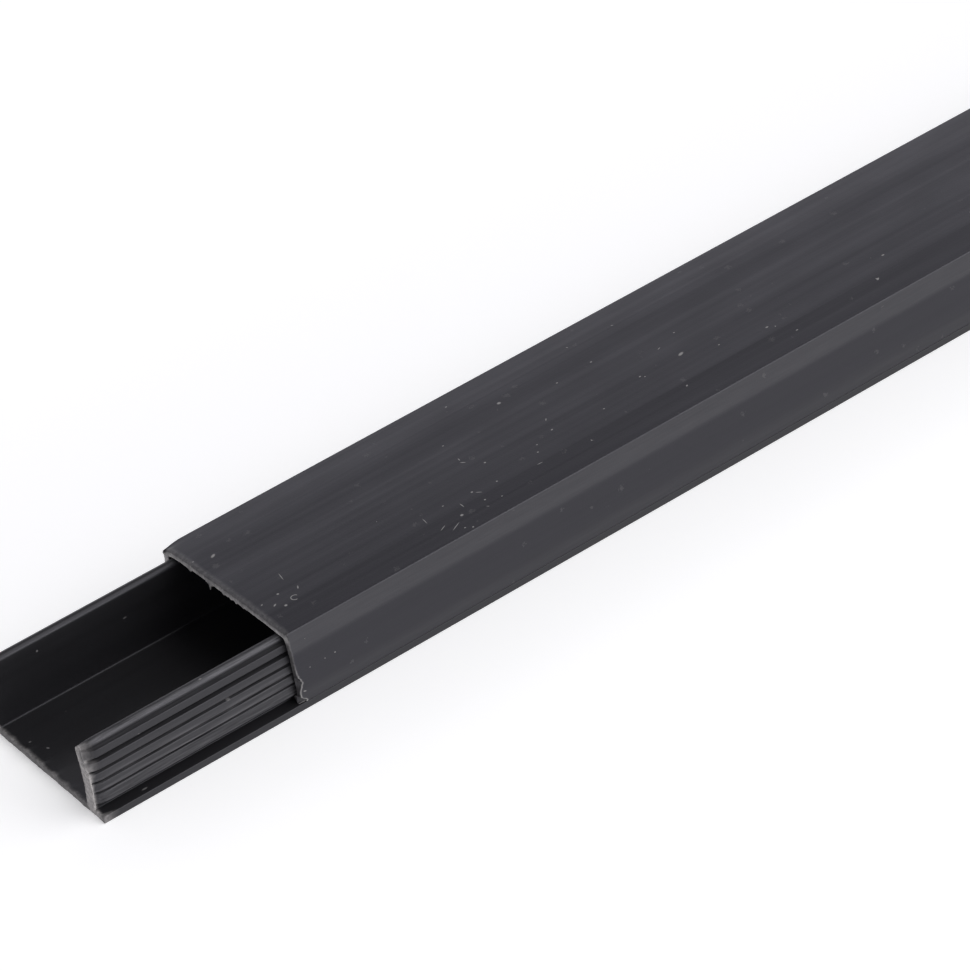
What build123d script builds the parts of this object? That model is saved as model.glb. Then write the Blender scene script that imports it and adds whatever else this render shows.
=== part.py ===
# Cord cover raceway: an extruded base channel with ratchet walls, and the cover that clips over it.
# Both are cut from black PVC stock. X runs along the raceway, Z is up, and the origin is the middle
# of the base's flat underside. The cover is slid along the base, so the near end of the base is bare.
import os

from build123d import *

# Stock
stock_length = 400.0  # both pieces are cut to this length
cover_setback = 26.1  # from the base's near end to the cover's near end

# Base channel
base_width = 25.0  # across the two lips
floor_thickness = 0.85
wall_thickness = 1.1  # from the inner face to the tooth roots, halfway up
wall_taper = 0.5  # how much thicker a wall is at its foot than at its top
wall_bow = 0.35  # how far a wall bulges outward halfway up
wall_tuck = 0.3  # how far in the teeth at the top stand from those at the foot
bead_radius = 0.6  # rounded top of a wall
neck_height = 0.8  # from the top of a wall down to its teeth
corner_fillet = 0.3  # inside corners between the floor and the walls

# Ratchet teeth down the outside of each wall: even ones above, and a taller one at the foot
tooth_count = 5
tooth_depth = 0.75  # from tip to root
tooth_face = 0.97  # height of the outer face of an even tooth
tooth_groove = 0.42  # opening between one tooth and the next
tooth_ledge = 0.2  # fall of a tooth's ledge from the wall out to its face
tooth_lean = 0.1  # how far a tip stands out from the top of its face
tooth_undercut = 0.2  # how far a root lies above the tip that hides it
tooth_round = 0.09  # radius on the corners of the teeth
foot_height = 0.75  # lowest tip above the lip

# Cover
edge_height = 10.25  # long edges of the top above the underside of the base
shoulder_width = 4.2  # sloping band along each edge of the top
shoulder_rise = 0.25  # climb of that band
crown_rise = 0.08  # further climb to the middle of the top
cover_thickness = 0.8  # top sheet
leg_thickness = 0.7
bevel_height = 2.6  # flat bevel down each side, below the edge
bevel_inset = 0.5  # how far the edge stands in from the bevel's foot
leg_inset = 0.1  # how far the bevel's foot stands in from the leg's foot
edge_radius = 0.3  # outside corners between the top and the sides
inner_radius = 0.4  # inside corners between the ceiling and the legs
barb_bite = 0.2  # how far a barb reaches in under the lowest tooth
barb_rise = 0.3  # how much the upper side of a barb climbs to its leg
barb_nose = 0.12  # blunt tip of a barb
foot_land = 0.35  # flat bottom of a leg, outside the lead-in of its barb

# Fits
tip_clearance = 0.25  # from the tooth tips to the inside of a leg
barb_clearance = 0.2  # from a barb up to the lowest tooth
seat_gap = 0.1  # from the lips up to the legs
ceiling_clearance = 0.12  # from the tops of the walls to the middle of the ceiling's sloping bands

# Heights that follow from the sizes above
leg_foot = floor_thickness + seat_gap
bevel_foot = edge_height - bevel_height
wall_top = edge_height - cover_thickness + shoulder_rise / 2 - ceiling_clearance
wall_middle = (floor_thickness + wall_top) / 2
half_wall = (wall_top - floor_thickness) / 2
lowest_tip = floor_thickness + foot_height
neck = wall_top - neck_height
tooth_pitch = tooth_face + tooth_groove


# Distance of the cover's outer side from the middle plane: a leg that curves in from its upright foot,
# then a flat bevel
def side_at(z):
    if z > bevel_foot:
        return base_width / 2 - leg_inset - bevel_inset * (z - bevel_foot) / bevel_height
    climb = (z - leg_foot) / (bevel_foot - leg_foot)
    return base_width / 2 - leg_inset * climb**2


# Distance of a tooth tip at height z from the middle plane
def tip_at(z):
    reach = side_at(wall_middle) - leg_thickness - tip_clearance
    climb = (z - wall_middle) / half_wall
    return reach - wall_tuck / 2 * climb - wall_bow * climb**2


def root_at(z):
    return tip_at(z) - tooth_depth


def inner_at(z):
    climb = (z - wall_middle) / half_wall
    return root_at(z) - wall_thickness + wall_taper / 2 * climb


# Outline down the toothed side of a wall: each tooth has a ledge, a leaning face and an undercut
def tooth_line():
    ledges = [neck - index * tooth_pitch for index in range(tooth_count)]
    tips = [ledge - tooth_ledge - tooth_face for ledge in ledges[:-1]] + [lowest_tip]
    points = []
    for ledge, tip in zip(ledges, tips):
        shoulder = ledge - tooth_ledge
        root = tip + tooth_undercut
        points += [(root_at(ledge), ledge), (tip_at(shoulder) - tooth_lean, shoulder)]
        points += [(tip_at(tip), tip), (root_at(root), root)]
    points += [(points[-1][0], floor_thickness / 2)]
    return points


# Section of the wall on the +Y side: bowed inner face, rounded top, toothed outer face
def wall_section():
    bead_height = wall_top - bead_radius
    teeth = tooth_line()
    inner_foot = (inner_at(floor_thickness), floor_thickness)
    inner_middle = (inner_at(wall_middle), wall_middle)
    inner_top = (inner_at(bead_height), bead_height)
    buried_foot = (inner_foot[0], teeth[-1][1])
    outline = [
        ThreePointArc(inner_foot, inner_middle, inner_top),
        Polyline(inner_top, (root_at(bead_height), bead_height), teeth[0]),
        FilletPolyline(*teeth, radius=tooth_round),
        Polyline(teeth[-1], buried_foot, inner_foot),
    ]
    bead = Pos(inner_top[0] + bead_radius, bead_height) * Circle(bead_radius)
    return make_face(outline) + bead


def base_section():
    wall = wall_section()
    floor_plate = Pos(0, floor_thickness / 2) * Rectangle(base_width, floor_thickness)
    section = floor_plate + wall + mirror(wall, about=Plane.YZ)
    inner_corners = section.vertices().sort_by_distance((0, floor_thickness))[:2]
    return fillet(inner_corners, corner_fillet)


# Mirror image of a section point in the middle plane
def flipped(point):
    return (-point[0], point[1])


# Outline of the cover's outside, or of its inside when drawn in by the wall thicknesses
def cover_outline(side_step, top_step, radius):
    top = edge_height - top_step
    waist = (leg_foot + bevel_foot) / 2
    foot, waist, bevel, edge = [(side_at(z) - side_step, z) for z in (leg_foot, waist, bevel_foot, top)]
    fold = (side_at(edge_height) - shoulder_width, top + shoulder_rise)
    crown = (0, fold[1] + crown_rise)
    outline = make_face(
        [
            ThreePointArc(foot, waist, bevel),
            Polyline(bevel, edge, fold),
            ThreePointArc(fold, crown, flipped(fold)),
            Polyline(flipped(fold), flipped(edge), flipped(bevel)),
            ThreePointArc(flipped(bevel), flipped(waist), flipped(foot)),
            Line(flipped(foot), foot),
        ]
    )
    edges = outline.vertices().group_by(Axis.Y)[-2]  # the highest pair are the folds
    return fillet(edges, radius)


# Barb inside the foot of the +Y leg, which hooks under the lowest tooth, and the lead-in cut below it
def barb_sections():
    reach = tip_at(lowest_tip) - barb_bite
    nose = lowest_tip - barb_clearance
    shoulder = nose + barb_rise
    leg_inside = side_at(shoulder) - leg_thickness
    buried = side_at(leg_foot) - foot_land
    barb = Polyline(
        (buried, leg_foot),
        (reach, leg_foot),
        (reach, nose),
        (leg_inside, shoulder),
        (buried, shoulder),
        close=True,
    )
    lead_in = Polyline((buried, leg_foot), (reach, nose - barb_nose), (reach, leg_foot), close=True)
    return make_face(barb), make_face(lead_in)


def cover_section():
    outside = cover_outline(0, 0, edge_radius)
    shell = outside - cover_outline(leg_thickness, cover_thickness, inner_radius)
    barb, lead_in = barb_sections()
    shell = shell + barb + mirror(barb, about=Plane.YZ)
    return shell - lead_in - mirror(lead_in, about=Plane.YZ)


# Carry a section along X from its near end
def extruded(section, near_end):
    return Pos(near_end, 0, 0) * extrude(Plane.YZ * section, amount=stock_length)


base_end = -stock_length / 2
base_channel = extruded(base_section(), base_end)
cover = extruded(cover_section(), base_end + cover_setback)

os.makedirs("parts", exist_ok=True)
export_step(base_channel, "parts/base_channel.step")
export_step(cover, "parts/cover.step")
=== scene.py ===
import bpy
import numpy as np
from mathutils import Matrix, Vector
from mathutils.geometry import delaunay_2d_cdt


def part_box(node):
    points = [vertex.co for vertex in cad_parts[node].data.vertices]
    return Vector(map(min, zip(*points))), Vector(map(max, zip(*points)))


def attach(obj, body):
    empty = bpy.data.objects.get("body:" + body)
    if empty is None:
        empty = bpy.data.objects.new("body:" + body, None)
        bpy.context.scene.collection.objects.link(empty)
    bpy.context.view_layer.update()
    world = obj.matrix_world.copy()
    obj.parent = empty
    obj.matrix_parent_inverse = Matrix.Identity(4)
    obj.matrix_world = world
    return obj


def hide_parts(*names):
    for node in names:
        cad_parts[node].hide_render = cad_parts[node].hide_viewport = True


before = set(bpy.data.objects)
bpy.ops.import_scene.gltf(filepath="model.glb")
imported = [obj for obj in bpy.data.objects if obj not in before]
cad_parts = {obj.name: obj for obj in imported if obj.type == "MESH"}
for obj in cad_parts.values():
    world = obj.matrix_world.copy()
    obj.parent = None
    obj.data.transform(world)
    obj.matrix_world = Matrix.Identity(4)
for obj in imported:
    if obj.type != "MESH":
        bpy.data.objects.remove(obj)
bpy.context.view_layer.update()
mm = 0.001
print("frame loaded:", sorted(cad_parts))

# Camera: where it stands, and the three unit directions of its own axes
camera = {
    "place": (-0.35709, -0.36641, 0.31029),
    "right": (0.79415, -0.59123, -0.14062),
    "up": (0.44214, 0.40335, 0.80114),
    "back": (-0.41694, -0.69840, 0.58172),
    "focalPixels": 4591.0,
    "imageWidth": 970,
    "imageHeight": 971,
    "sensor": 36.0,
    "clipStart": 0.01,
}


def makeCamera(settings):
    data = bpy.data.cameras.new("camera")
    data.sensor_fit = "HORIZONTAL"
    data.sensor_width = settings["sensor"]
    data.lens = settings["focalPixels"] / settings["imageWidth"] * settings["sensor"]
    data.clip_start = settings["clipStart"]
    made = bpy.data.objects.new("camera", data)
    axes = Matrix((settings["right"], settings["up"], settings["back"])).transposed()
    made.matrix_world = Matrix.Translation(settings["place"]) @ axes.to_4x4()
    bpy.context.scene.collection.objects.link(made)
    bpy.context.scene.camera = made


makeCamera(camera)
print("camera placed")


# Lowest and highest corner of a CAD node in millimetres, to a ten-thousandth
def nodeBox(node):
    decimals = 4
    return [np.round(np.array(corner) / mm, decimals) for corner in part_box(node)]


# Rounded corners, lengths in millimetres
rounding = {
    "points": 6,  # in an arc
    "support": 0.05,  # from an arc to the extra point beside it
    "share": 0.45,  # of a side, which an arc may take
    "shortest": 0.0005,  # step that is kept
    "straightest": 0.9999999,  # cosine between two sides
    "smallest": 1e-9,  # length to divide by
}


# Rounds the corners of a closed outline. Each corner becomes a circle arc that touches both its sides, with
# one more point a little way along each side, so that faces beside it shade flat. Radius 0 keeps a corner.
def roundCorners(corners, radii):
    toBefore = np.roll(corners, 1, axis=0) - corners
    toAfter = np.roll(corners, -1, axis=0) - corners
    before = np.linalg.norm(toBefore, axis=1)
    after = np.linalg.norm(toAfter, axis=1)
    a = toBefore / before[:, None]
    b = toAfter / after[:, None]
    cosine = np.clip((a * b).sum(axis=1), -rounding["straightest"], rounding["straightest"])
    half = np.arccos(cosine) / 2
    room = rounding["share"] * np.minimum(before, after)
    reach = np.minimum(radii / np.tan(half), room)
    radius = reach * np.tan(half)
    bisector = a + b
    bisector = bisector / np.maximum(np.linalg.norm(bisector, axis=1), rounding["smallest"])[:, None]
    centre = corners + bisector * (radius / np.sin(half))[:, None]
    start = corners + a * reach[:, None] - centre
    end = corners + b * reach[:, None] - centre
    turn = (np.pi - 2 * half)[:, None, None]
    t = np.linspace(0, 1, rounding["points"])[None, :, None]
    arc = (start[:, None] * np.sin((1 - t) * turn) + end[:, None] * np.sin(t * turn)) / np.sin(turn)
    lead = np.where(radii > 0, np.minimum(rounding["support"], room - reach), 0) + reach
    first = corners + a * lead[:, None]
    last = corners + b * lead[:, None]
    loop = np.concatenate([first[:, None], centre[:, None] + arc, last[:, None]], axis=1).reshape(-1, 2)
    step = np.linalg.norm(loop - np.roll(loop, 1, axis=0), axis=1)
    return loop[step > rounding["shortest"]]


# Divides the long sides of a closed outline evenly, so that no step is longer than the spacing
def divideSides(loop, spacing):
    along = np.roll(loop, -1, axis=0) - loop
    count = np.maximum(np.ceil(np.linalg.norm(along, axis=1) / spacing), 1).astype(int)
    side = np.repeat(np.arange(len(loop)), count)
    place = np.arange(count.sum()) - np.repeat(np.cumsum(count) - count, count)
    return loop[side] + along[side] * (place / count[side])[:, None]


# The half of a section on the +Y side, followed by its mirror image run backwards, is the whole outline
def mirrored(half, radii):
    other = half[::-1] * np.array([-1, 1])
    return np.concatenate([half, other]), np.concatenate([radii, radii[::-1]])


# Outward unit normals of a closed outline that runs anticlockwise
def outlineNormals(loop):
    along = np.roll(loop, -1, axis=0) - np.roll(loop, 1, axis=0)
    normal = np.stack([along[:, 1], -along[:, 0]], axis=1)
    return normal / np.linalg.norm(normal, axis=1)[:, None]


# Distance along a closed outline from its first point
def alongOutline(loop):
    side = np.linalg.norm(np.roll(loop, -1, axis=0) - loop, axis=1)
    return np.cumsum(side) - side


# Random height between -1 and 1 along a line: random values a pitch apart, joined by straight runs
def roughLine(distance, pitch, seed):
    values = np.random.default_rng(seed).uniform(-1, 1, int(distance.max() / pitch) + 3)
    return np.interp(distance / pitch, np.arange(len(values)), values)


# Bell curve: e to the power of minus the square of distance over reach
def bell(distance, reach):
    return np.exp(-((distance / reach) ** 2))


# Sum of bell curves at each point of an outline; a row gives a section point, a radius and a height
def bells(loop, rows):
    rows = np.array(rows, float)
    gap = np.linalg.norm(loop[:, None] - rows[None, :, :2], axis=2)
    return (rows[:, 3] * bell(gap, rows[:, 2])).sum(axis=1)


# Straight climb from 0 at the start to 1 after the run
def ramp(value, start, run):
    return np.clip((value - start) / run, 0, 1)


# How far a rim is drawn in at a distance from its cut, when a quarter circle of the rim's depth rounds it
def drawnIn(depth, fromCut):
    left = np.clip(1 - fromCut / depth, 0, 1)
    return depth * (1 - np.sqrt(1 - left**2))


# Triangles that fill a closed outline, each of them anticlockwise
def fillOutline(loop):
    points = list(map(Vector, loop.tolist()))
    insideOnly = 1
    closest = 1e-7
    filled = delaunay_2d_cdt(points, [], [list(range(len(points)))], insideOnly, closest)
    triangles = np.array(filled[2])
    a, b, c = loop[triangles[:, 0]], loop[triangles[:, 1]], loop[triangles[:, 2]]
    turn = (b[:, 0] - a[:, 0]) * (c[:, 1] - a[:, 1]) - (b[:, 1] - a[:, 1]) * (c[:, 0] - a[:, 0])
    return np.where(turn[:, None] < 0, triangles[:, ::-1], triangles)


# Rings of a swept section: distances from a cut at which there is one, closest together at the cut, how many
# places there are from the last of these at one end to the last at the other, and the angle that shades sharp
ringPlan = {
    "cutSteps": np.array([0, 0.04, 0.09, 0.16, 0.26, 0.4, 0.6, 0.9, 1.4, 2.2, 3.5, 6.0]),
    "places": 36,
    "sharpDegrees": 38.0,
}


def addLayer(mesh, name, values):
    layer = mesh.attributes.new(name, "FLOAT", "POINT")
    layer.data.foreach_set("value", values.astype(np.float32).ravel())


# Carries an outline along X between two sawn cuts. At the near cut each point lies back along X by its own
# amount, its rim is rounded by a quarter circle, and smears and burrs move it in the section; a smear fades
# over the longer and a burr over the shorter depth. The far cut only has a small rim and a slight wander.
# The layer sawn falls off from a cut as a bell curve over each point's own reach of white; at the near end
# its strength is pale on the cut itself and rimPale behind it. The layer worn marks what is rubbed or dusty,
# and also painted highlight and painted sheen that lighten the plastic, along the whole length.
def sweep(name, loop, size, wear):
    length = size["length"]
    cutSteps = ringPlan["cutSteps"]
    middle = np.linspace(cutSteps[-1], length - cutSteps[-1], ringPlan["places"])[1:-1]
    fromNear = np.concatenate([cutSteps, middle, length - cutSteps[::-1]])[:, None]
    fromFar = length - fromNear
    drawn = drawnIn(wear["rim"], fromNear) + drawnIn(wear["farRim"], fromFar)
    across = loop - outlineNormals(loop) * drawn[:, :, None]
    across = across + wear["smear"] * bell(fromNear, wear["smearDepth"])[:, :, None]
    across = across + wear["burr"] * bell(fromNear, wear["burrDepth"])[:, :, None]
    across = np.clip(across, size["low"], size["high"])
    nearShift = wear["back"] * np.clip(1 - fromNear / cutSteps[-1], 0, 1)
    farShift = wear["farBack"] * np.clip(1 - fromFar / cutSteps[-1], 0, 1)
    along = size["nearEnd"] + fromNear + nearShift - farShift
    rings = np.concatenate([along[:, :, None], across], axis=2)
    count = len(loop)
    ring = np.arange(count)
    nextInRing = np.roll(ring, -1)
    quad = np.stack([ring, nextInRing, nextInRing + count, ring + count], axis=1)
    starts = np.arange(len(fromNear) - 1) * count
    quads = (quad[None] + starts[:, None, None]).reshape(-1, 4)
    cap = fillOutline(loop)
    faces = quads.tolist() + cap[:, ::-1].tolist() + (cap + starts[-1] + count).tolist()
    mesh = bpy.data.meshes.new(name)
    mesh.from_pydata((rings.reshape(-1, 3) * mm).tolist(), [], faces)
    mesh.polygons.foreach_set("use_smooth", np.ones(len(mesh.polygons), bool))
    mesh.set_sharp_from_angle(angle=np.radians(ringPlan["sharpDegrees"]))
    pale = np.where(fromNear == 0, wear["pale"], wear["rimPale"])
    addLayer(mesh, "sawn", pale * bell(fromNear, wear["white"]) + bell(fromFar, wear["farWhite"]))
    addLayer(mesh, "worn", np.tile(wear["worn"], len(fromNear)))
    made = bpy.data.objects.new(name, mesh)
    bpy.context.scene.collection.objects.link(made)
    return made


# Base channel, in millimetres: floor plate, two lips, two bowed walls with a rounded top and hooked teeth.
# What is given for each tooth runs from the lowest up.
baseLow, baseHigh = nodeBox("base_channel")
base = {
    "nearEnd": baseLow[0],
    "length": baseHigh[0] - baseLow[0],
    "low": (baseLow[1], baseLow[2]),  # smears and burrs stay within low and high
    "high": (baseHigh[1], 9.455),
    "width": baseHigh[1] - baseLow[1],
    "floor": 0.85,
    "lip": 0.91,  # height of a lip's slightly raised edge
    "wall": 1.1,
    "taper": 0.5,
    "bow": 0.35,
    "tuck": 0.3,
    "top": 9.455,
    "bead": 0.6,
    "neck": 0.8,
    "teeth": 5,
    "depth": 0.75,
    "face": 0.97,
    "groove": 0.42,
    "ledge": 0.2,
    "lean": (0.2, 0.15, 0.12, 0.02, -0.06),  # how far a tip stands out from its shoulder
    "lift": (0.0, 0.0, 0.0, 0.0, 0.12),  # how much higher a tooth's face sits than its place in the row
    "undercut": 0.2,
    "lowestTip": 1.6,
    "reach": 11.511,  # of the tips halfway up
    "toothRound": 0.09,
    "edgeRound": 0.06,
    "cornerFill": 0.3,
    "beadPoints": 18,
    "innerPoints": 20,
    "spacing": 0.2,
}

# Near cut of the base: teeth crushed in to the wall's core, spikes on them, the near wall's top worn back,
# lumps on the floor, a worn lip. Rows of lumps, worn, faded, and of dust and painted highlight, are bells: a
# section point, a radius and a height. What ends in Mix is the share of the grain in a value.
baseCut = {
    "seed": 11,
    "grain": 0.22,
    "coarser": 5,  # coarse grain over fine grain
    "wander": 0.14,
    "wanderMix": (0.6, 0.4),  # of fine and coarse grain
    "rim": 0.06,
    "lipRim": 0.3,
    "farRim": 0.05,
    "farDivisor": 3,  # divides the wander of the far cut
    "crush": 0.85,
    "crushMix": 0.12,
    "core": ((5.5, 1.4), (9.455, 0.22)),  # heights, and the wall's thickness left there
    "wallInset": 0.5,  # what counts as wall starts this far inside its foot
    "wallFoot": 0.12,  # and this far above the floor
    "smearDepth": 0.8,
    "burrDepth": 0.13,
    "fuzz": 0.06,
    "spike": (-0.38, -0.32),
    "spikeRadius": 0.18,
    "lumps": (
        (3.7, 0.85, 0.55, 0.22),
        (0.4, 0.85, 0.3, 0.25),
        (-2.3, 0.85, 0.8, 0.14),
        (-5.6, 0.85, 0.5, 0.12),
        (-10.0, 9.6, 0.6, -0.4),
    ),
    "worn": ((-11.0, 8.9, 1.0, 0.25),),
    "faded": (
        (-11.3, 8.6, 1.0, 0.7),
        (-10.3, 9.5, 0.6, 0.6),
        (-11.4, 7.2, 0.9, 0.6),
        (-11.6, 6.0, 0.7, 0.3),
    ),
    "fadedMost": 0.7,
    "fadedReach": 0.9,
    # Lighter spots on the near wall: faint dust over the teeth, and painted highlight on the lowest teeth and
    # on the bead's upper outer side
    "dustAndHighlight": (
        (-11.3, 2.9, 0.7, 0.25),
        (-11.4, 2.0, 0.5, 0.3),
        (-11.4, 5.0, 2.5, 0.05),
        (-10.46, 9.3, 0.28, 0.9),
    ),
    # The tips' rows are painted highlight: the lower teeth lighter at their tips, where they catch the light
    "rubbed": (0.3, 0.45, 0.5, 0.15, 0.0),  # tips, from the lowest tooth up
    "tipHighlightRadius": 0.3,
    "tipHighlightLift": 0.15,
    "grooveDust": (0.2, 0.8, 0.4, 0.2, 0.35),  # ledges, from the lowest tooth up
    "grooveRadius": 0.2,
    "grooveLift": 0.08,
    "grooveIn": 0.35,
    "surface": 0.1,  # what lies less than this above the floor belongs to it
    "floorHalf": 9.3,
    "floorPale": 0.36,
    "floorMix": 0.25,
    "floorWhite": 0.33,
    "lipFrom": 11.9,
    "lipRun": 0.4,
    "lipUpper": 0.4,
    "lipPale": 0.4,
    "lipPaleFrom": 11.0,
    "lipPaleRun": 1.2,
    "lipWhite": 1.3,
    "white": 0.25,
    "whiteMix": 0.3,
}


# Distance of the base's tooth tips from the middle plane: a bowed line that leans in towards the top
def tipAt(d, z):
    climb = (2 * z - d["floor"] - d["top"]) / (d["top"] - d["floor"])
    return d["reach"] - d["tuck"] / 2 * climb - d["bow"] * climb**2


# Distance of a wall's inner face from the middle plane: the tip line less the tooth depth and the wall's
# thickness, which tapers upward
def innerAt(d, z):
    climb = (2 * z - d["floor"] - d["top"]) / (d["top"] - d["floor"])
    return tipAt(d, z) - d["depth"] - d["wall"] + d["taper"] / 2 * climb


# Heights of every tooth's root, tip, shoulder and ledge, from the lowest tooth up
def toothHeights(d):
    ledge = d["top"] - d["neck"] - np.arange(d["teeth"])[::-1] * (d["face"] + d["groove"])
    shoulder = ledge - d["ledge"] + np.array(d["lift"])
    tip = np.append(d["lowestTip"], shoulder[1:] - d["face"])
    return np.stack([tip + d["undercut"], tip, shoulder, ledge], axis=1)


# Half of the base's outline: lip, teeth that hang on the tip line, circle arc over the top, and inner face
def baseOutline(d):
    neck = d["top"] - d["neck"]
    beadHeight = d["top"] - d["bead"]
    height = toothHeights(d)
    out = tipAt(d, height) - np.array([d["depth"], 0, 0, d["depth"]])
    out[:, 2] -= d["lean"]
    tooth = np.stack([out, height], axis=2).reshape(-1, 2)[:-1]  # the arc takes the place of the last root
    halfWidth = d["width"] / 2
    lip = np.array([[halfWidth, 0], [halfWidth, d["lip"]], [tooth[0, 0], d["floor"]]])
    angle = np.linspace(-np.arcsin((beadHeight - neck) / d["bead"]), np.pi, d["beadPoints"])
    beadMiddle = np.array([innerAt(d, beadHeight) + d["bead"], beadHeight])
    bead = beadMiddle + d["bead"] * np.stack([np.cos(angle), np.sin(angle)], axis=1)
    height = np.linspace(beadHeight, d["floor"], d["innerPoints"])[1:]
    inner = np.stack([innerAt(d, height), height], axis=1)
    half = np.concatenate([lip, tooth, bead, inner])
    radii = np.zeros(len(half))
    radii[:len(lip)] = d["edgeRound"]
    radii[len(lip):len(lip) + len(tooth)] = d["toothRound"]
    radii[-1] = d["cornerFill"]
    corners, radii = mirrored(half, radii)
    return divideSides(roundCorners(corners, radii), d["spacing"])


# Rows for bells, one at each tooth of the near wall
def toothRows(out, height, radius, strength):
    rows = [-out, height, np.full(len(out), radius), np.broadcast_to(strength, len(out))]
    return np.stack(rows, axis=1)


# Wear of the base: the near wall's teeth are crushed by what stands out past the core that the cut leaves,
# and the floor, the lip and the rest of the cut have their own paleness and reach of white
def wearBase(loop, d, cut):
    distance = alongOutline(loop)
    rough = roughLine(distance, cut["grain"], cut["seed"])
    coarse = roughLine(distance, cut["coarser"] * cut["grain"], cut["seed"] + 1)
    across = np.abs(loop[:, 0])
    nearSide = -loop[:, 0]
    z = loop[:, 1]
    tip, shoulder = toothHeights(d)[:, 1:3].T
    tipOut = tipAt(d, tip)
    shoulderIn = tipAt(d, shoulder) - cut["grooveIn"]

    onWall = (across > innerAt(d, d["floor"]) - cut["wallInset"]) * (z > d["floor"] + cut["wallFoot"])
    core = np.interp(z, *np.transpose(cut["core"]))
    excess = np.clip(across - innerAt(d, z) - core, 0, None) * onWall
    smear = np.zeros(loop.shape)
    smear[:, 0] = -np.sign(loop[:, 0]) * excess * cut["crush"] * (1 + cut["crushMix"] * coarse)
    smear[:, 1] += bells(loop, cut["lumps"])
    spikes = bells(loop, toothRows(tipOut, tip, cut["spikeRadius"], 1.0))
    burr = spikes[:, None] * np.array(cut["spike"])
    burr = burr + outlineNormals(loop) * (cut["fuzz"] * np.clip(rough, 0, 1))[:, None]
    # painted highlight on the tips of the lower teeth
    rubbed = toothRows(tipOut, tip + cut["tipHighlightLift"], cut["tipHighlightRadius"], cut["rubbed"])
    inGroove = toothRows(shoulderIn, shoulder + cut["grooveLift"], cut["grooveRadius"], cut["grooveDust"])

    low = z < d["floor"] + cut["surface"]
    onLip = ramp(nearSide, cut["lipFrom"], cut["lipRun"]) * low
    onFloor = (across < cut["floorHalf"]) * low
    faded = bells(loop, cut["faded"])
    pale = 1 - np.clip(faded, 0, cut["fadedMost"])
    pale = np.where(onFloor, cut["floorPale"] * (1 + cut["floorMix"] * coarse), pale)
    pale = pale + (cut["lipPale"] - pale) * ramp(nearSide, cut["lipPaleFrom"], cut["lipPaleRun"]) * low
    white = cut["white"] + (cut["floorWhite"] - cut["white"]) * onFloor * (z > d["floor"] / 2)
    white = white + (cut["lipWhite"] - cut["white"]) * onLip
    white = white + cut["fadedReach"] * np.clip(faded, 0, 1)
    fine, broad = cut["wanderMix"]
    return {
        "back": cut["wander"] * (1 + fine * rough + broad * coarse) / 2 + bells(loop, cut["worn"]),
        "rim": cut["rim"] + (cut["lipRim"] - cut["rim"]) * onLip * (z > cut["lipUpper"]),
        "farRim": cut["farRim"],
        "farBack": cut["wander"] * (1 + rough) / cut["farDivisor"],
        "smear": smear,
        "burr": burr,
        "smearDepth": cut["smearDepth"],
        "burrDepth": cut["burrDepth"],
        "white": white * (1 + cut["whiteMix"] * coarse),
        "pale": pale,
        "rimPale": pale,
        "farWhite": cut["white"],
        # worn: painted highlight on the tips and the bead, with dust on the teeth and in the grooves
        "worn": bells(loop, rubbed) + bells(loop, cut["dustAndHighlight"]) + bells(loop, inGroove),
    }


baseLoop = baseOutline(base)
baseChannel = sweep("baseChannel", baseLoop, base, wearBase(baseLoop, base, baseCut))
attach(baseChannel, "base")
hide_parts("base_channel")
print("base channel:", len(baseChannel.data.polygons), "faces")

# Cover, in millimetres: sloping shoulders either side of a crowned top, bevelled sides, legs with barbs
coverLow, coverHigh = nodeBox("cover")
cover = {
    "nearEnd": coverLow[0],
    "length": coverHigh[0] - coverLow[0],
    "low": (coverLow[1], 0.9),  # smears and burrs stay within low and high
    "high": (coverHigh[1], 10.57),
    "edge": 10.25,
    "shoulderWidth": 4.2,
    "shoulderRise": 0.25,
    "crown": 0.07,
    "sheet": 0.8,
    "leg": 0.7,
    "legFoot": coverLow[2],
    "bevel": 2.6,
    "bevelInset": 0.5,
    "legInset": 0.1,
    "halfWidth": coverHigh[1],
    "land": 0.35,
    "barbReach": 11.196,
    "barbNose": 1.4,
    "barbRise": 0.3,
    "barbBlunt": 0.12,
    "sinkPlace": 3.6,  # a shallow sink along the top
    "sinkWidth": 1.9,
    "sinkDepth": 0.05,
    "edgeRound": 0.17,
    "foldRound": 5.0,
    "innerRound": 0.4,
    "footRound": 0.06,
    "crownPoints": 12,
    "innerPoints": 9,
    "outerPoints": 12,
    "spacing": 0.12,
}

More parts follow.
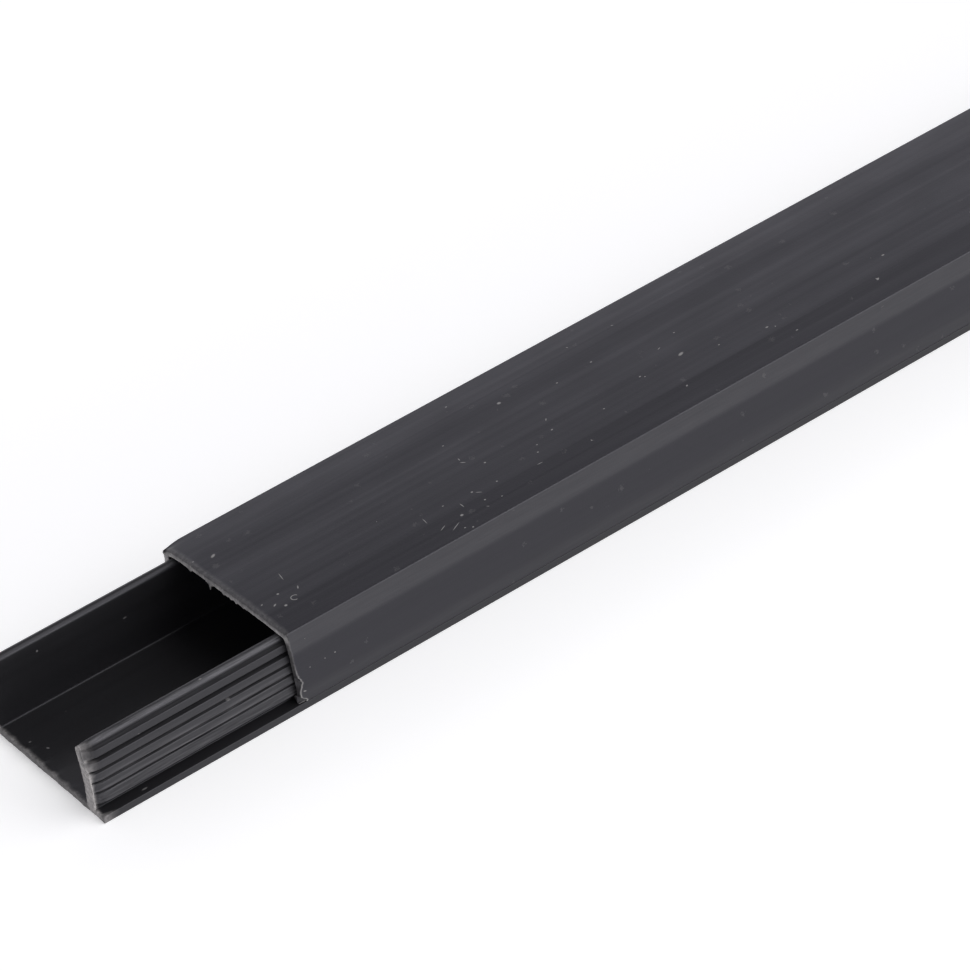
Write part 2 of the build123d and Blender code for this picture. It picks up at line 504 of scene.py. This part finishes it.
# Near cut of the cover: a little out of square, its upper edge worn round, hairs of plastic under the
# ceiling's edge, the near leg's outer face chipped, the far corner rubbed down but standing out. Rows are
# bells: a section point, a radius and a height. What ends in Mix is the share of the grain in a value.
coverCut = {
    "seed": 23,
    "grain": 0.2,
    "coarser": 5,  # coarse grain over fine grain
    "skew": 0.5,
    "shift": -0.25,
    "wander": 0.12,
    "wanderMix": (0.5, 0.5),  # of fine and coarse grain
    "rim": 0.04,
    "topRim": 0.36,
    "sideRim": 0.16,
    "farRim": 0.05,
    "farDivisor": 3,  # divides the wander of the far cut
    "smearDepth": 1.2,
    "burrDepth": 0.12,
    "fuzz": 0.08,
    "hair": 0.2,
    "fluff": (
        (6.8, 9.65, 0.35, 0.9),
        (2.9, 9.75, 0.5, 1.4),
        (-0.3, 9.77, 0.5, 1.0),
        (-3.0, 9.7, 2.5, 0.3),
    ),
    "fluffMost": 0.5,
    "facesDown": -0.9,
    "rubbed": ((11.9, 10.25, 0.9, 0.35), (11.2, 9.0, 0.7, -0.35)),
    "standing": ((-12.0, 0.95, 0.9, 0.35), (12.2, 10.0, 0.7, 0.4)),
    "dull": ((12.3, 9.9, 0.5, 0.75), (-11.9, 9.9, 0.7, 0.6)),
    "chips": ((-12.5, 3.7, 0.7, 0.5), (-12.5, 1.1, 0.5, 0.8), (-12.0, 9.5, 0.5, 0.15)),
    "chipMix": (0.15, 0.3),  # of fine and coarse grain
    "skin": 0.2,  # what lies less than this under the outer side belongs to it
    "topBand": 0.4,
    "legInner": -11.0,
    "legTop": 6.5,
    "legRun": 2.0,
    "legPale": 0.11,
    "upperFrom": 0.7,
    "upperRun": 0.8,
    "upperPale": 0.22,
    "chipPale": 0.55,
    "topPale": 0.2,
    "facePale": 0.6,
    "sidePale": 0.18,
    "white": 0.15,
    "topWhite": 0.55,
    # Painted sheen: the bevels and the feet of the legs are made lighter where they reflect more light
    "bevelSheen": 0.36,
    "bevelSheenRun": 0.6,
    "footSheen": ((-12.5, 1.7, 1.1, 0.24), (12.5, 1.7, 1.1, 0.24)),
}


# Distance of the cover's outer side from the middle plane: the leg curves in by the square of the height, the
# bevel above it is flat
def sideAt(d, z):
    bevelFoot = d["edge"] - d["bevel"]
    low = d["halfWidth"] - d["legInset"] * ((z - d["legFoot"]) / (bevelFoot - d["legFoot"])) ** 2
    high = d["halfWidth"] - d["legInset"] - d["bevelInset"] * (z - bevelFoot) / d["bevel"]
    return np.where(z > bevelFoot, high, low)


# Half of the cover's outline: from the middle of the ceiling out and down the inside of the leg, round the
# barb and the foot, up the outside and over the shoulder. The crown falls by the square of the distance from
# the middle, and a bell curve sinks one stretch of the top.
def coverOutline(d):
    bevelFoot = d["edge"] - d["bevel"]

    def crownLine(top):
        across = np.linspace(0, 1, d["crownPoints"])
        rise = top + d["shoulderRise"] + d["crown"] * (1 - across**2)
        return np.stack([across * (sideAt(d, d["edge"]) - d["shoulderWidth"]), rise], axis=1)

    ceiling = d["edge"] - d["sheet"]
    barbTop = d["barbNose"] + d["barbRise"]
    innerHeight = np.concatenate([[ceiling], np.linspace(bevelFoot, barbTop, d["innerPoints"])])
    innerLeg = np.stack([sideAt(d, innerHeight) - d["leg"], innerHeight], axis=1)
    barb = np.array(
        [
            [d["barbReach"], d["barbNose"]],
            [d["barbReach"], d["barbNose"] - d["barbBlunt"]],
            [d["halfWidth"] - d["land"], d["legFoot"]],
            [d["halfWidth"], d["legFoot"]],
        ]
    )
    outerHeight = np.concatenate([np.linspace(d["legFoot"], bevelFoot, d["outerPoints"])[1:], [d["edge"]]])
    outerLeg = np.stack([sideAt(d, outerHeight), outerHeight], axis=1)
    inside = crownLine(ceiling)
    outside = crownLine(d["edge"])[::-1]
    half = np.concatenate([inside, innerLeg, barb, outerLeg, outside])
    insideRadii = np.zeros(len(inside))
    insideRadii[-1] = d["foldRound"]
    innerRadii = np.zeros(len(innerLeg))
    innerRadii[0] = d["innerRound"]
    innerRadii[-1] = d["footRound"]
    outerRadii = np.zeros(len(outerLeg))
    outerRadii[-2] = d["foldRound"]
    outerRadii[-1] = d["edgeRound"]
    barbRadii = np.full(len(barb), d["footRound"])
    radii = np.concatenate([insideRadii, innerRadii, barbRadii, outerRadii, insideRadii[::-1]])
    half = half[1:-1]  # the two middle points lie on the mirror line
    radii = radii[1:-1]
    corners, radii = mirrored(half, radii)
    loop = divideSides(roundCorners(corners, radii), d["spacing"])
    sink = d["sinkDepth"] * bell(loop[:, 0] - d["sinkPlace"], d["sinkWidth"])
    loop[:, 1] -= sink * (loop[:, 1] > d["edge"])
    return loop


# Wear of the cover: the top, the sides and the near leg each have their own rim, paleness or reach of white,
# the hairs stand out under the ceiling's edge, and painted sheen lightens the bevels and the legs' feet
def wearCover(loop, d, cut):
    distance = alongOutline(loop)
    normal = outlineNormals(loop)
    rough = roughLine(distance, cut["grain"], cut["seed"])
    coarse = roughLine(distance, cut["coarser"] * cut["grain"], cut["seed"] + 1)
    hair = np.abs(roughLine(distance, cut["hair"], cut["seed"] + 2))
    y = loop[:, 0]
    z = loop[:, 1]
    onSkin = sideAt(d, z) - np.abs(y) < cut["skin"]
    onTop = np.clip(normal[:, 1], 0, 1) * (z > d["edge"] - cut["topBand"])
    onSide = np.clip(np.abs(normal[:, 0]), 0, 1) * onSkin * (1 - onTop)
    sheenOnBevel = np.clip((z - d["edge"] + d["bevel"]) / cut["bevelSheenRun"] + 0.5, 0, 1) * (1 - onTop)
    nearLeg = (y < cut["legInner"]) * ramp(cut["legTop"] - z, 0, cut["legRun"])
    upperLeg = (y < 0) * ramp(d["edge"] - cut["upperFrom"] - z, 0, cut["upperRun"])
    fluff = bells(loop, cut["fluff"]) * (normal[:, 1] < cut["facesDown"]) * hair

    notDull = 1 - bells(loop, cut["dull"])
    sidePale = cut["sidePale"] + (cut["chipPale"] - cut["sidePale"]) * nearLeg
    rimPale = 1 + (cut["topPale"] - 1) * onTop + (sidePale - 1) * onSide
    facePale = 1 + (cut["facePale"] - 1) * onTop + (cut["upperPale"] - 1) * upperLeg
    facePale = facePale + (cut["legPale"] - facePale) * nearLeg
    facePale = facePale * notDull * (1 - np.clip(fluff, 0, cut["fluffMost"]))

    fine, broad = cut["wanderMix"]
    skew = cut["skew"] * (0.5 - y / (2 * d["halfWidth"]))
    back = cut["shift"] + skew + cut["wander"] * (1 + fine * rough + broad * coarse) / 2
    back = back - bells(loop, cut["standing"])
    fine, broad = cut["chipMix"]
    chipped = bells(loop, cut["chips"]) * onSkin * (1 + broad * coarse + fine * rough)
    return {
        "back": back + chipped,
        "rim": cut["rim"] + (cut["topRim"] - cut["rim"]) * onTop + (cut["sideRim"] - cut["rim"]) * onSide,
        "farRim": cut["farRim"],
        "farBack": cut["wander"] * (1 + rough) / cut["farDivisor"],
        "smear": -normal * bells(loop, cut["rubbed"])[:, None],
        "burr": normal * (cut["fuzz"] * np.clip(rough, 0, 1) + fluff)[:, None],
        "smearDepth": cut["smearDepth"],
        "burrDepth": cut["burrDepth"],
        "white": cut["white"] + (cut["topWhite"] - cut["white"]) * onTop,
        "pale": facePale,
        "rimPale": rimPale * notDull,
        "farWhite": cut["white"],
        # worn here is painted sheen only: lighter bevels and feet of the legs
        "worn": (cut["bevelSheen"] * sheenOnBevel + bells(loop, cut["footSheen"])) * onSkin,
    }


coverLoop = coverOutline(cover)
coverShell = sweep("coverShell", coverLoop, cover, wearCover(coverLoop, cover, coverCut))
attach(coverShell, "cover")
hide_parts("cover")
print("cover:", len(coverShell.data.polygons), "faces")


# Adds a node, sets its plain settings, and fills its inputs with values or with links from other sockets
def addNode(tree, kind, inputs=None, **settings):
    made = tree.nodes.new(kind)
    for key, value in settings.items():
        setattr(made, key, value)
    for key, value in (inputs or {}).items():
        if isinstance(value, bpy.types.NodeSocket):
            tree.links.new(value, made.inputs[key])
        else:
            made.inputs[key].default_value = value
    return made


def addMath(tree, operation, first, second=0.0):
    return addNode(tree, "ShaderNodeMath", {0: first, 1: second}, operation=operation).outputs[0]


def addMix(tree, factor, first, second):
    return addNode(tree, "ShaderNodeMix", {0: factor, 6: first, 7: second}, data_type="RGBA").outputs[2]


def addRange(tree, value, fromMin, fromMax, toMin, toMax):
    ends = {"Value": value, "From Min": fromMin, "From Max": fromMax, "To Min": toMin, "To Max": toMax}
    return addNode(tree, "ShaderNodeMapRange", ends).outputs["Result"]


def addNoise(tree, place, stretch, detail):
    vector = addNode(tree, "ShaderNodeMapping", {"Vector": place, "Scale": stretch}).outputs["Vector"]
    inputs = {"Vector": vector, "Scale": 1.0, "Detail": detail}
    return addNode(tree, "ShaderNodeTexNoise", inputs).outputs["Fac"]


def addBump(tree, height, strength, distance, below=None):
    inputs = {"Height": height, "Strength": strength, "Distance": distance}
    if below is not None:
        inputs["Normal"] = below
    return addNode(tree, "ShaderNodeBump", inputs).outputs[0]


# Where the camera sees a picture point on the plane that an axis and a level on it in millimetres give
def seenAt(pictureX, pictureY, axis, level):
    across = (pictureX - camera["imageWidth"] / 2) / camera["focalPixels"]
    down = (pictureY - camera["imageHeight"] / 2) / camera["focalPixels"]
    sight = Vector(camera["right"]) * across - Vector(camera["up"]) * down - Vector(camera["back"])
    place = Vector(camera["place"])
    return place + sight * ((level * mm - place[axis]) / sight[axis])


# Where the gap of a ring starts, as a share of its half length, and where a mark is at full strength, as a
# share of its reach
markPlan = {"ringGap": 0.55, "fullStrength": 0.5}


# Strength of a list of small marks: each is a soft-edged ellipse, or a ring with a gap, lying in its plane.
# A row gives the picture point, the plane's axis and level, length, width and turn, and the reach of a ring's
# line as a share of its half length, or 0.
def addMarks(tree, place, rows):
    total = 0.0
    for pictureX, pictureY, axis, level, length, width, turn, ring in rows:
        scale = [length * mm / 2, width * mm / 2, 1.0]
        spin = [0, 0, np.radians(turn)]
        if axis == 1:
            scale = [scale[0], 1.0, scale[1]]
            spin = [0, np.radians(turn), 0]
        middle = seenAt(pictureX, pictureY, axis, level)
        settings = {"Vector": place, "Location": middle, "Rotation": spin, "Scale": scale}
        local = addNode(tree, "ShaderNodeMapping", settings, vector_type="TEXTURE").outputs["Vector"]
        outward = addNode(tree, "ShaderNodeVectorMath", {0: local}, operation="LENGTH").outputs["Value"]
        reach = 1.0
        if ring:
            reach = ring
            outward = addMath(tree, "ABSOLUTE", addMath(tree, "SUBTRACT", outward, 1.0))
            forward = addNode(tree, "ShaderNodeSeparateXYZ", {0: local}).outputs["X"]
            inGap = addMath(tree, "GREATER_THAN", forward, markPlan["ringGap"])
            outward = addMath(tree, "ADD", outward, inGap)
        mark = addRange(tree, outward, reach, markPlan["fullStrength"] * reach, 0.0, 1.0)
        total = addMath(tree, "MAXIMUM", mark, total)
    return total


# Specks in some cells of a cell pattern: a cell whose random value passes the limit holds one around its
# middle, larger for a higher value; the edge factor makes its outline uneven
def addSpecks(tree, place, edge, cells, limit, largest):
    pattern = addNode(tree, "ShaderNodeTexVoronoi", {"Vector": place, "Scale": cells}).outputs
    chosen = addNode(tree, "ShaderNodeSeparateColor", {0: pattern["Color"]}).outputs["Red"]
    size = addMath(tree, "MULTIPLY", addRange(tree, chosen, limit, 1.0, 0.0, largest), edge)
    return addMath(tree, "LESS_THAN", pattern["Distance"], size)


# What both plastics share. A noise has its cells per metre along X, Y and Z, and its detail; a bump has its
# strength and its height in metres; any other pair is the range of a value.
finish = {
    "streak": ((8, 1100, 1100), 5.0),
    "cloud": ((120, 260, 260), 3.0),
    "grain": ((5000, 5000, 5000), 2.0),
    "flake": ((2200, 2200, 2200), 3.0),
    "ripple": ((10, 260, 260), 2.0),
    "scuff": ((250, 5000, 5000), 3.0),
    "wide": (0.3, 0.7),
    "narrow": (0.35, 0.65),
    "ragged": (0.8, 1.2),
    "speckEdge": (0.3, 1.7),
    "gloss": (0.7, 1.3),
    "whiteFrom": 0.03,
    "dustLimit": 0.9,
    "faintLimit": 0.5,
    "paleRough": 0.85,
    "rippleStrength": 1.0,
    "grainBump": (0.15, 0.00004),
    "lineBump": (0.25, 0.00006),
    "tornBump": (0.2, 0.0001),
    "ior": 1.5,
}

basePlastic = {
    "dark": (0.0095, 0.0094, 0.0104, 1),
    "light": (0.0140, 0.0138, 0.0150, 1),
    # worn: lighter plastic for dust on the teeth and for painted highlight on the bead and the lower teeth
    "worn": (0.12, 0.118, 0.123, 1),
    "sawnDark": (0.36, 0.345, 0.335, 1),
    "sawnLight": (0.52, 0.50, 0.485, 1),
    "dust": (0.14, 0.137, 0.135, 1),
    "ripple": 0.00006,
    "dustCells": 700.0,
    "dustSize": 0.09,
    "faintCells": 600.0,
    "faintSize": 0.12,
    "faintDust": 0.03,
    "roughLow": 0.36,
    "roughHigh": 0.50,
    "mirror": 0.46,
    "evenWearAndSheen": 0.0,
    "tint": (0.935, 0.925, 1.0, 1),
    "marks": (
        (178, 618, 2, 0.85, 0.4, 0.3, 0, 0),
        (125, 618, 1, 9.6, 0.6, 0.25, 0, 0),
        (37, 651, 1, 9.6, 0.35, 0.35, 0, 0),
        (30, 742, 2, 0.85, 0.4, 0.25, 0, 0),
        (48, 748, 2, 0.85, 0.3, 0.5, 30, 0),
        (130, 728, 2, 9.4, 0.9, 0.3, 0, 0),
        (200, 679, 2, 9.4, 0.5, 0.25, 0, 0),
    ),
}

coverPlastic = {
    "dark": (0.0100, 0.0097, 0.0128, 1),
    "light": (0.0140, 0.0135, 0.0175, 1),
    # worn: the colour of the painted sheen on the bevels and the feet of the legs
    "worn": (0.06, 0.0595, 0.060, 1),
    "sawnDark": (0.50, 0.485, 0.475, 1),
    "sawnLight": (0.64, 0.625, 0.61, 1),
    "dust": (0.26, 0.255, 0.25, 1),
    "ripple": 0.00012,
    "dustCells": 420.0,
    "dustSize": 0.07,
    "faintCells": 500.0,
    "faintSize": 0.18,
    "faintDust": 0.10,
    "roughLow": 0.34,
    "roughHigh": 0.46,
    "mirror": 0.41,
    "evenWearAndSheen": 0.6,
    "tint": (0.935, 0.925, 1.0, 1),
    "marks": (
        (681, 355, 2, 10.4, 1.0, 0.5, 20, 0),
        (499, 404, 2, 10.4, 0.6, 0.5, 0, 0),
        (462, 516, 2, 10.3, 0.5, 0.4, 0, 0),
        (767, 328, 2, 10.4, 0.5, 0.3, 0, 0),
        (883, 256, 2, 10.4, 0.5, 0.3, 0, 0),
        (213, 556, 2, 10.5, 0.9, 0.45, 30, 0),
        (278, 595, 2, 10.4, 0.35, 0.35, 0, 0),
        (275, 606, 2, 10.4, 0.6, 0.25, 30, 0),
        (286, 606, 2, 10.4, 0.45, 0.4, 0, 0),
        (262, 606, 2, 10.4, 0.35, 0.2, 30, 0),
        (298, 588, 2, 10.4, 0.7, 0.2, 60, 0),
        (193, 562, 2, 10.5, 0.3, 0.2, 0, 0),
        (295, 598, 2, 10.4, 0.9, 0.85, -30, 0.16),
        (459, 460, 2, 10.5, 0.6, 0.16, 83, 0),
        (463, 463, 2, 10.5, 0.8, 0.16, -42, 0),
        (485, 463, 2, 10.5, 0.35, 0.28, 0, 0),
        (446, 407, 2, 10.4, 0.32, 0.24, 0, 0),
        (443, 446, 2, 10.5, 0.28, 0.2, 0, 0),
        (472, 493, 2, 10.4, 0.35, 0.3, 0, 0),
        (479, 493, 2, 10.4, 0.9, 0.13, -42, 0),
        (485, 500, 2, 10.4, 0.3, 0.25, 0, 0),
        (488, 506, 2, 10.4, 0.4, 0.12, -42, 0),
        (497, 482, 2, 10.4, 0.28, 0.25, 0, 0),
        (502, 496, 2, 10.4, 0.25, 0.18, 0, 0),
        (462, 506, 2, 10.4, 1.0, 0.14, 89, 0),
        (443, 507, 2, 10.4, 0.3, 0.2, 0, 0),
        (425, 522, 2, 10.4, 1.3, 0.11, 83, 0),
        (443, 528, 2, 10.4, 1.2, 0.12, 26, 0),
        (456, 526, 2, 10.4, 1.8, 0.12, 26, 0),
        (465, 527, 2, 10.4, 0.3, 0.2, 0, 0),
        (473, 526, 2, 10.4, 0.3, 0.25, 40, 0),
        (537, 445, 2, 10.5, 0.28, 0.18, 0, 0),
        (538, 453, 2, 10.4, 0.28, 0.25, 0, 0),
        (540, 464, 2, 10.4, 0.9, 0.11, -4, 0),
        (659, 349, 2, 10.5, 0.6, 0.14, 16, 0),
        (612, 326, 2, 10.4, 0.4, 0.15, -42, 0),
        (567, 348, 2, 10.4, 0.35, 0.16, -42, 0),
        (674, 333, 2, 10.5, 0.28, 0.2, 0, 0),
        (719, 345, 2, 10.5, 0.3, 0.2, 0, 0),
        (604, 409, 2, 10.5, 0.28, 0.2, 0, 0),
        (591, 362, 2, 10.5, 0.35, 0.25, 0, 0),
        (557, 383, 2, 10.5, 0.3, 0.25, 0, 0),
        (546, 420, 2, 10.5, 0.6, 0.16, 50, 0),
        (552, 430, 2, 10.5, 0.4, 0.25, 16, 0),
        (640, 377, 2, 10.5, 0.35, 0.25, 0, 0),
        (687, 386, 2, 10.4, 0.4, 0.25, 30, 0),
        (756, 380, 2, 10.3, 0.35, 0.2, 0, 0),
        (797, 330, 2, 10.4, 0.4, 0.2, 0, 0),
        (919, 294, 2, 10.3, 0.4, 0.2, 0, 0),
        (281, 577, 2, 10.5, 1.6, 0.12, 79, 0),
        (335, 652, 1, -12.45, 0.2, 0.2, 0, 0),
        (325, 658, 1, -12.45, 0.16, 0.16, 0, 0),
        (310, 667, 1, -12.45, 0.14, 0.14, 0, 0),
        (305, 691, 1, -12.49, 0.5, 0.16, 23, 0),
    ),
}


# Satin black plastic. Noise stretched along X gives the die lines and slow ripples, a rounder one cloudy
# patches in the gloss. The layer worn fades to a lighter colour: scuffs, dust, painted highlight and painted
# sheen. Sawn fades to a pale, rough cut; specks and marks of dust lie on top.
def makePlastic(name, d):
    material = bpy.data.materials.new(name)
    material.use_nodes = True
    tree = material.node_tree
    shader = tree.nodes["Principled BSDF"]
    place = addNode(tree, "ShaderNodeTexCoord").outputs["Object"]
    streak = addNoise(tree, place, *finish["streak"])
    cloud = addNoise(tree, place, *finish["cloud"])
    grain = addNoise(tree, place, *finish["grain"])
    flake = addNoise(tree, place, *finish["flake"])
    ripple = addNoise(tree, place, *finish["ripple"])
    scuff = addNoise(tree, place, *finish["scuff"])
    colour = addMix(tree, streak, d["dark"], d["light"])

    # The layer worn: scuffs and dust, and painted highlight and painted sheen
    worn = addNode(tree, "ShaderNodeAttribute", attribute_name="worn").outputs["Fac"]
    broken = addRange(tree, scuff, *finish["wide"], d["evenWearAndSheen"], 1.0)
    colour = addMix(tree, addMath(tree, "MULTIPLY", worn, broken), colour, d["worn"])

    sawn = addNode(tree, "ShaderNodeAttribute", attribute_name="sawn").outputs["Fac"]
    ragged = addRange(tree, flake, *finish["wide"], *finish["ragged"])
    white = addRange(tree, addMath(tree, "MULTIPLY", sawn, ragged), finish["whiteFrom"], 1.0, 0.0, 1.0)
    cut = addMix(tree, addRange(tree, flake, *finish["narrow"], 0.0, 1.0), d["sawnDark"], d["sawnLight"])
    colour = addMix(tree, white, colour, cut)

    edge = addRange(tree, grain, *finish["narrow"], *finish["speckEdge"])
    speck = addSpecks(tree, place, edge, d["dustCells"], finish["dustLimit"], d["dustSize"])
    faint = addSpecks(tree, place, edge, d["faintCells"], finish["faintLimit"], d["faintSize"])
    dusty = addMath(tree, "MAXIMUM", speck, addMarks(tree, place, d["marks"]))
    dusty = addMath(tree, "MAXIMUM", dusty, addMath(tree, "MULTIPLY", faint, d["faintDust"]))
    colour = addMix(tree, dusty, colour, d["dust"])
    tree.links.new(colour, shader.inputs["Base Color"])

    gloss = addMath(tree, "ADD", streak, cloud)
    rough = addRange(tree, gloss, *finish["gloss"], d["roughLow"], d["roughHigh"])
    pale = addMath(tree, "MAXIMUM", white, dusty)
    rough = addNode(tree, "ShaderNodeMix", {0: pale, 2: rough, 3: finish["paleRough"]}).outputs[0]
    tree.links.new(rough, shader.inputs["Roughness"])
    shader.inputs["IOR"].default_value = finish["ior"]
    shader.inputs["Specular IOR Level"].default_value = d["mirror"]
    shader.inputs["Specular Tint"].default_value = d["tint"]

    bump = addBump(tree, grain, *finish["grainBump"])
    bump = addBump(tree, ripple, finish["rippleStrength"], d["ripple"], bump)
    bump = addBump(tree, streak, *finish["lineBump"], bump)
    bump = addBump(tree, addMath(tree, "MULTIPLY", flake, white), *finish["tornBump"], bump)
    tree.links.new(bump, shader.inputs["Normal"])
    return material


baseChannel.data.materials.append(makePlastic("basePlastic", basePlastic))
coverShell.data.materials.append(makePlastic("coverPlastic", coverPlastic))
print("materials made")

# Floor, surround and lights, lengths in metres. A row of the surround gives the height of a direction, from 0
# at the horizon to 1 at the zenith, and the colour there; sides are its strengths towards -X and +X.
studio = {
    "floorSize": 12.0,
    "floorDrop": 0.00002,
    "floorColour": (0.86, 0.86, 0.86, 1),
    "glow": 0.38,
    "glowColour": (1, 1, 1, 1),
    "surround": (
        (0.30, (1.09, 1.09, 1.10)),
        (0.43, (1.06, 1.03, 1.28)),
        (0.56, (1.17, 1.165, 1.19)),
        (0.61, (1.03, 1.025, 1.04)),
        (0.665, (0.134, 0.134, 0.134)),
        (1.0, (0.19, 0.19, 0.19)),
    ),
    "sides": (0.45, 1.2),
    "aim": (-0.13, 0.0, 0.01),
    "boxes": (
        {"place": (0.9, -0.85, 1.5), "width": 1.9, "height": 1.9, "power": 20.0},
        {"place": (0.5, -1.35, 0.18), "width": 1.5, "height": 0.32, "power": 10.0},
    ),
}


# White floor: a plain pale colour that keeps the object's shadow, with a little glow added for what the
# camera and mirrored or refracted rays see, so that open floor comes out white
def makeFloor(d):
    edge = d["floorSize"] / 2
    corners = np.array([[-1, -1], [1, -1], [1, 1], [-1, 1]]) * edge
    flat = np.concatenate([corners, np.full((4, 1), -d["floorDrop"])], axis=1)
    mesh = bpy.data.meshes.new("floor")
    mesh.from_pydata(flat.tolist(), [], [[0, 1, 2, 3]])
    floor = bpy.data.objects.new("floor", mesh)
    bpy.context.scene.collection.objects.link(floor)
    material = bpy.data.materials.new("paleFloor")
    material.use_nodes = True
    tree = material.node_tree
    tree.nodes.clear()
    plain = addNode(tree, "ShaderNodeBsdfDiffuse", {"Color": d["floorColour"]}).outputs[0]
    glow = addNode(tree, "ShaderNodeEmission", {"Color": d["glowColour"], "Strength": d["glow"]}).outputs[0]
    shown = addNode(tree, "ShaderNodeAddShader", {0: plain, 1: glow}).outputs[0]
    ray = addNode(tree, "ShaderNodeLightPath").outputs
    seen = addMath(tree, "MAXIMUM", ray["Is Camera Ray"], ray["Is Glossy Ray"])
    seen = addMath(tree, "MAXIMUM", seen, ray["Is Transmission Ray"])
    mixed = addNode(tree, "ShaderNodeMixShader", {0: seen, 1: plain, 2: shown}).outputs[0]
    addNode(tree, "ShaderNodeOutputMaterial", {"Surface": mixed})
    mesh.materials.append(material)


# Surround: bright up to about two thirds of the zenith's height, bluish lower down, dim above, and brighter
# towards +X
def makeSurround(d):
    world = bpy.data.worlds.new("surround")
    bpy.context.scene.world = world
    world.use_nodes = True
    tree = world.node_tree
    tree.nodes.clear()
    direction = addNode(tree, "ShaderNodeTexCoord").outputs["Generated"]
    parts = addNode(tree, "ShaderNodeSeparateXYZ", {0: direction}).outputs
    climb = addNode(tree, "ShaderNodeValToRGB", {"Fac": parts["Z"]})
    strength = addRange(tree, parts["X"], -1.0, 1.0, *d["sides"])
    stops = climb.color_ramp.elements
    for place, colour in d["surround"][2:]:  # a new colour ramp already has two stops
        stops.new(place)
    for stop, (place, colour) in zip(stops, d["surround"]):
        stop.position = place
        stop.color = (*colour, 1)
    around = addNode(tree, "ShaderNodeBackground", {"Color": climb.outputs["Color"], "Strength": strength})
    addNode(tree, "ShaderNodeOutputWorld", {"Surface": around.outputs[0]})


# Soft boxes on the near side, to the right of the camera: a high square one and a low strip
def makeSoftBoxes(d):
    aim = Vector(d["aim"])
    for box in d["boxes"]:
        data = bpy.data.lights.new("softBox", "AREA")
        data.shape = "RECTANGLE"
        data.size = box["width"]
        data.size_y = box["height"]
        data.energy = box["power"]
        made = bpy.data.objects.new("softBox", data)
        place = Vector(box["place"])
        turn = (place - aim).to_track_quat("Z", "Y")
        made.matrix_world = Matrix.Translation(place) @ turn.to_matrix().to_4x4()
        bpy.context.scene.collection.objects.link(made)


makeFloor(studio)
makeSurround(studio)
makeSoftBoxes(studio)
bpy.context.scene.view_settings.view_transform = "Standard"
print("studio lit")

bpy.context.view_layer.update()
